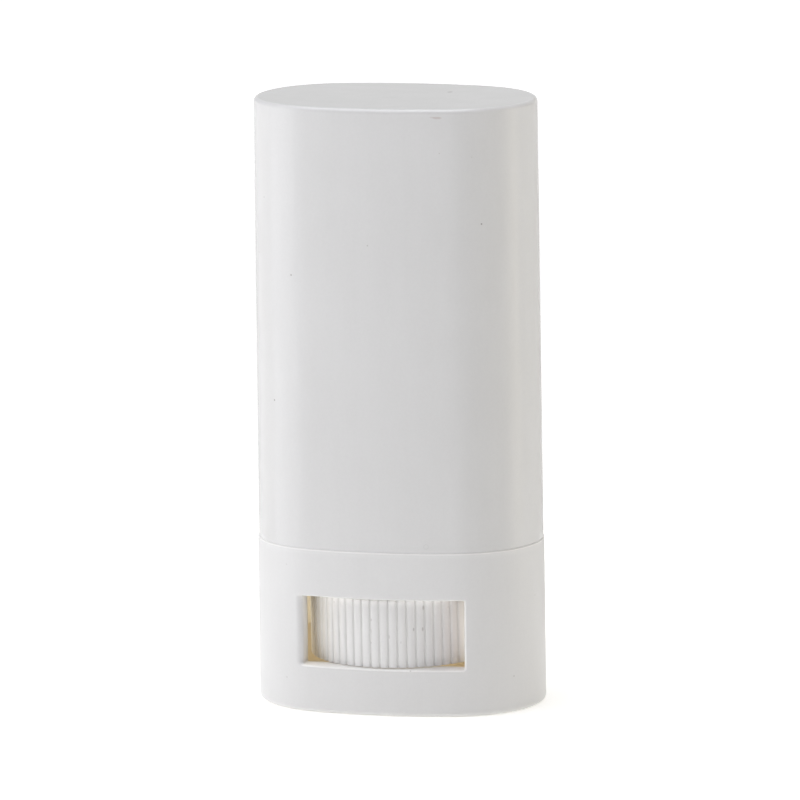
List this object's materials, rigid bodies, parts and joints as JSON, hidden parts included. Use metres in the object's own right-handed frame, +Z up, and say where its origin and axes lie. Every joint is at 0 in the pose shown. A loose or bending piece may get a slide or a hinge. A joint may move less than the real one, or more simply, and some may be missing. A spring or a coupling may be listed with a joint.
{
  "type": "twist-up stick container",
  "caption": "Oval twist-up stick pack: lift-off overcap, windowed base with ribbed thumbwheel, lead screw, product tube and elevator cup, closed and empty.",
  "frame": {"origin": "centre of the foot, on the surface it stands on", "axes": "+Z up the pack, X across the wide side, -Y the front"},
  "size_m": [0.0382, 0.0254, 0.08],
  "materials": {
    "cap_plastic": "glossy white injection-moulded plastic",
    "base_plastic": "satin white injection-moulded plastic",
    "wheel_plastic": "satin white injection-moulded plastic",
    "barrel_plastic": "satin natural white polypropylene",
    "elevator_plastic": "satin natural white polypropylene"
  },
  "bodies": {
    "root": {"base_shell": "base_plastic", "barrel": "barrel_plastic"},
    "cap": {"outer_cap": "cap_plastic"},
    "wheel": {"thumbwheel_screw": "wheel_plastic"},
    "carrier": {"elevator": "elevator_plastic"}
  },
  "joints": [
    {"name": "cap_lift", "type": "slide", "parent": "root", "child": "cap", "axis": [0, 0, 1], "range_m": [0, 0.056]},
    {"name": "wheel_turn", "type": "hinge", "parent": "root", "child": "wheel", "pos_m": [0, 0, 0.0108], "axis": [0, 0, -1], "range_deg": [0, 3870]},
    {"name": "elevator_rise", "type": "slide", "parent": "root", "child": "carrier", "axis": [0, 0, 1], "range_m": [0, 0.043]}
  ],
  "couplings": [
    {"joint": "elevator_rise", "follows": "wheel_turn", "m_per_rad": 0.00063662}
  ]
}
